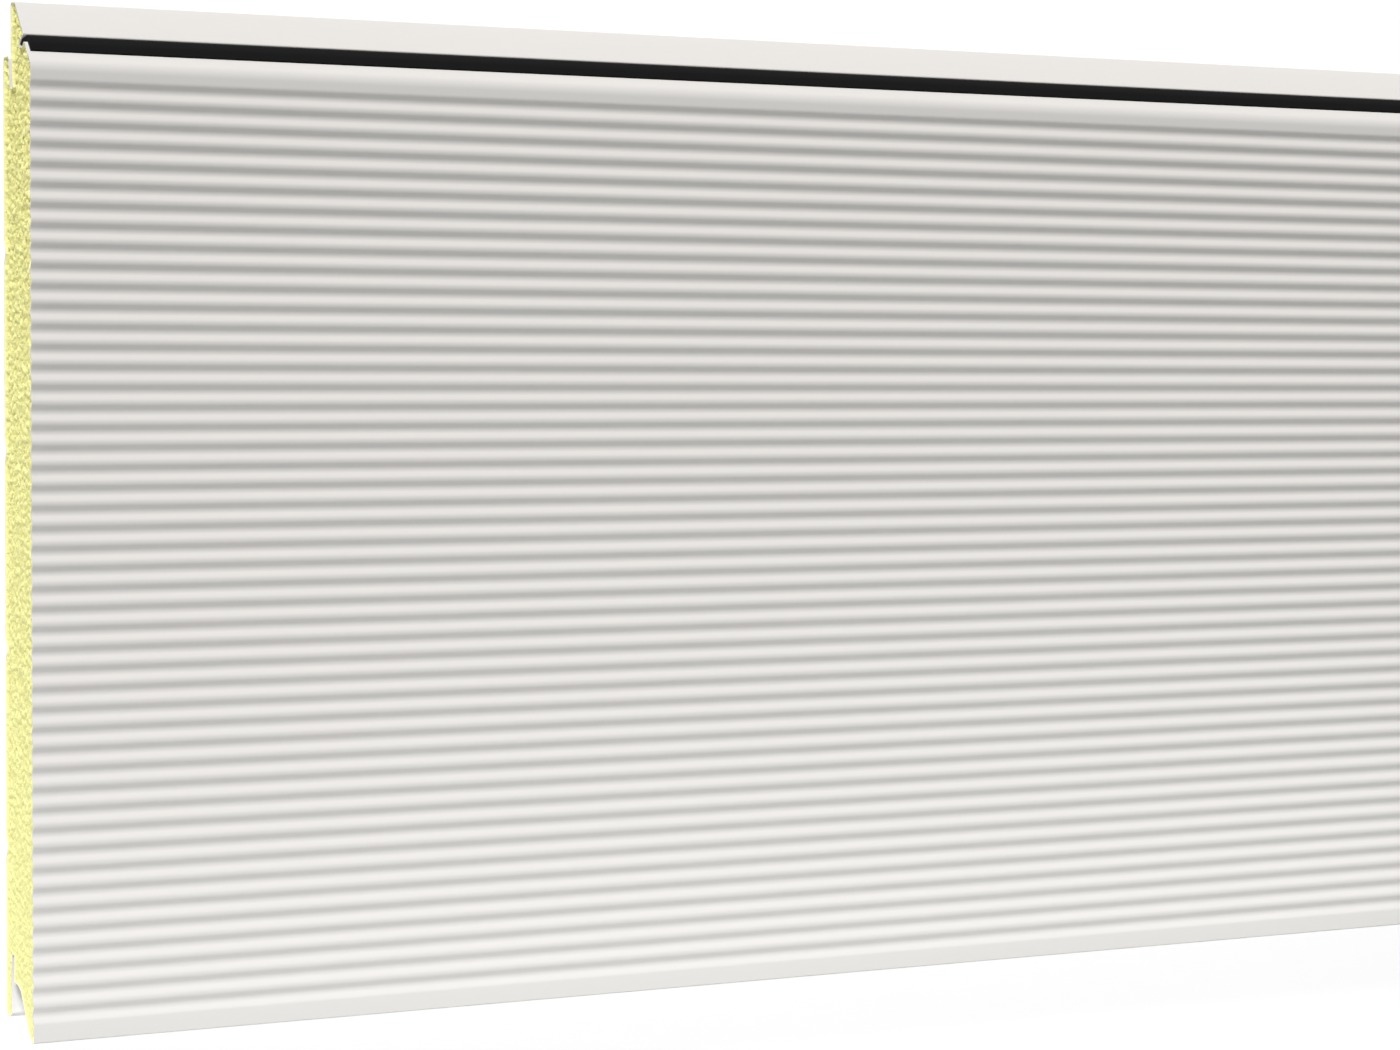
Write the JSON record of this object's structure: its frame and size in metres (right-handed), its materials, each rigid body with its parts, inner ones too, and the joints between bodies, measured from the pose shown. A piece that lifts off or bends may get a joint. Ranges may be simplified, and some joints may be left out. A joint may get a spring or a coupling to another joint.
{
  "type": "insulated garage door panel",
  "caption": "Insulated sectional door panel: waved steel outer skin, grooved inner skin, foam core, tongue-and-recess long edges and a rubber seal strip.",
  "frame": {"origin": "middle of the panel's plan, on the plane of its flat inner face", "axes": "+X along the panel, +Y up the door towards the tongue, +Z out of the waved outer face"},
  "size_m": [2.5, 0.523, 0.04],
  "materials": {
    "outer_steel": "satin off-white coil coating",
    "inner_steel": "satin off-white coil coating, embossed",
    "foam": "torn rigid foam",
    "rubber": "matt extruded rubber"
  },
  "bodies": {
    "root": {"outer_skin": "outer_steel", "inner_skin": "inner_steel", "foam_core": "foam", "seal_strip": "rubber"}
  },
  "joints": []
}
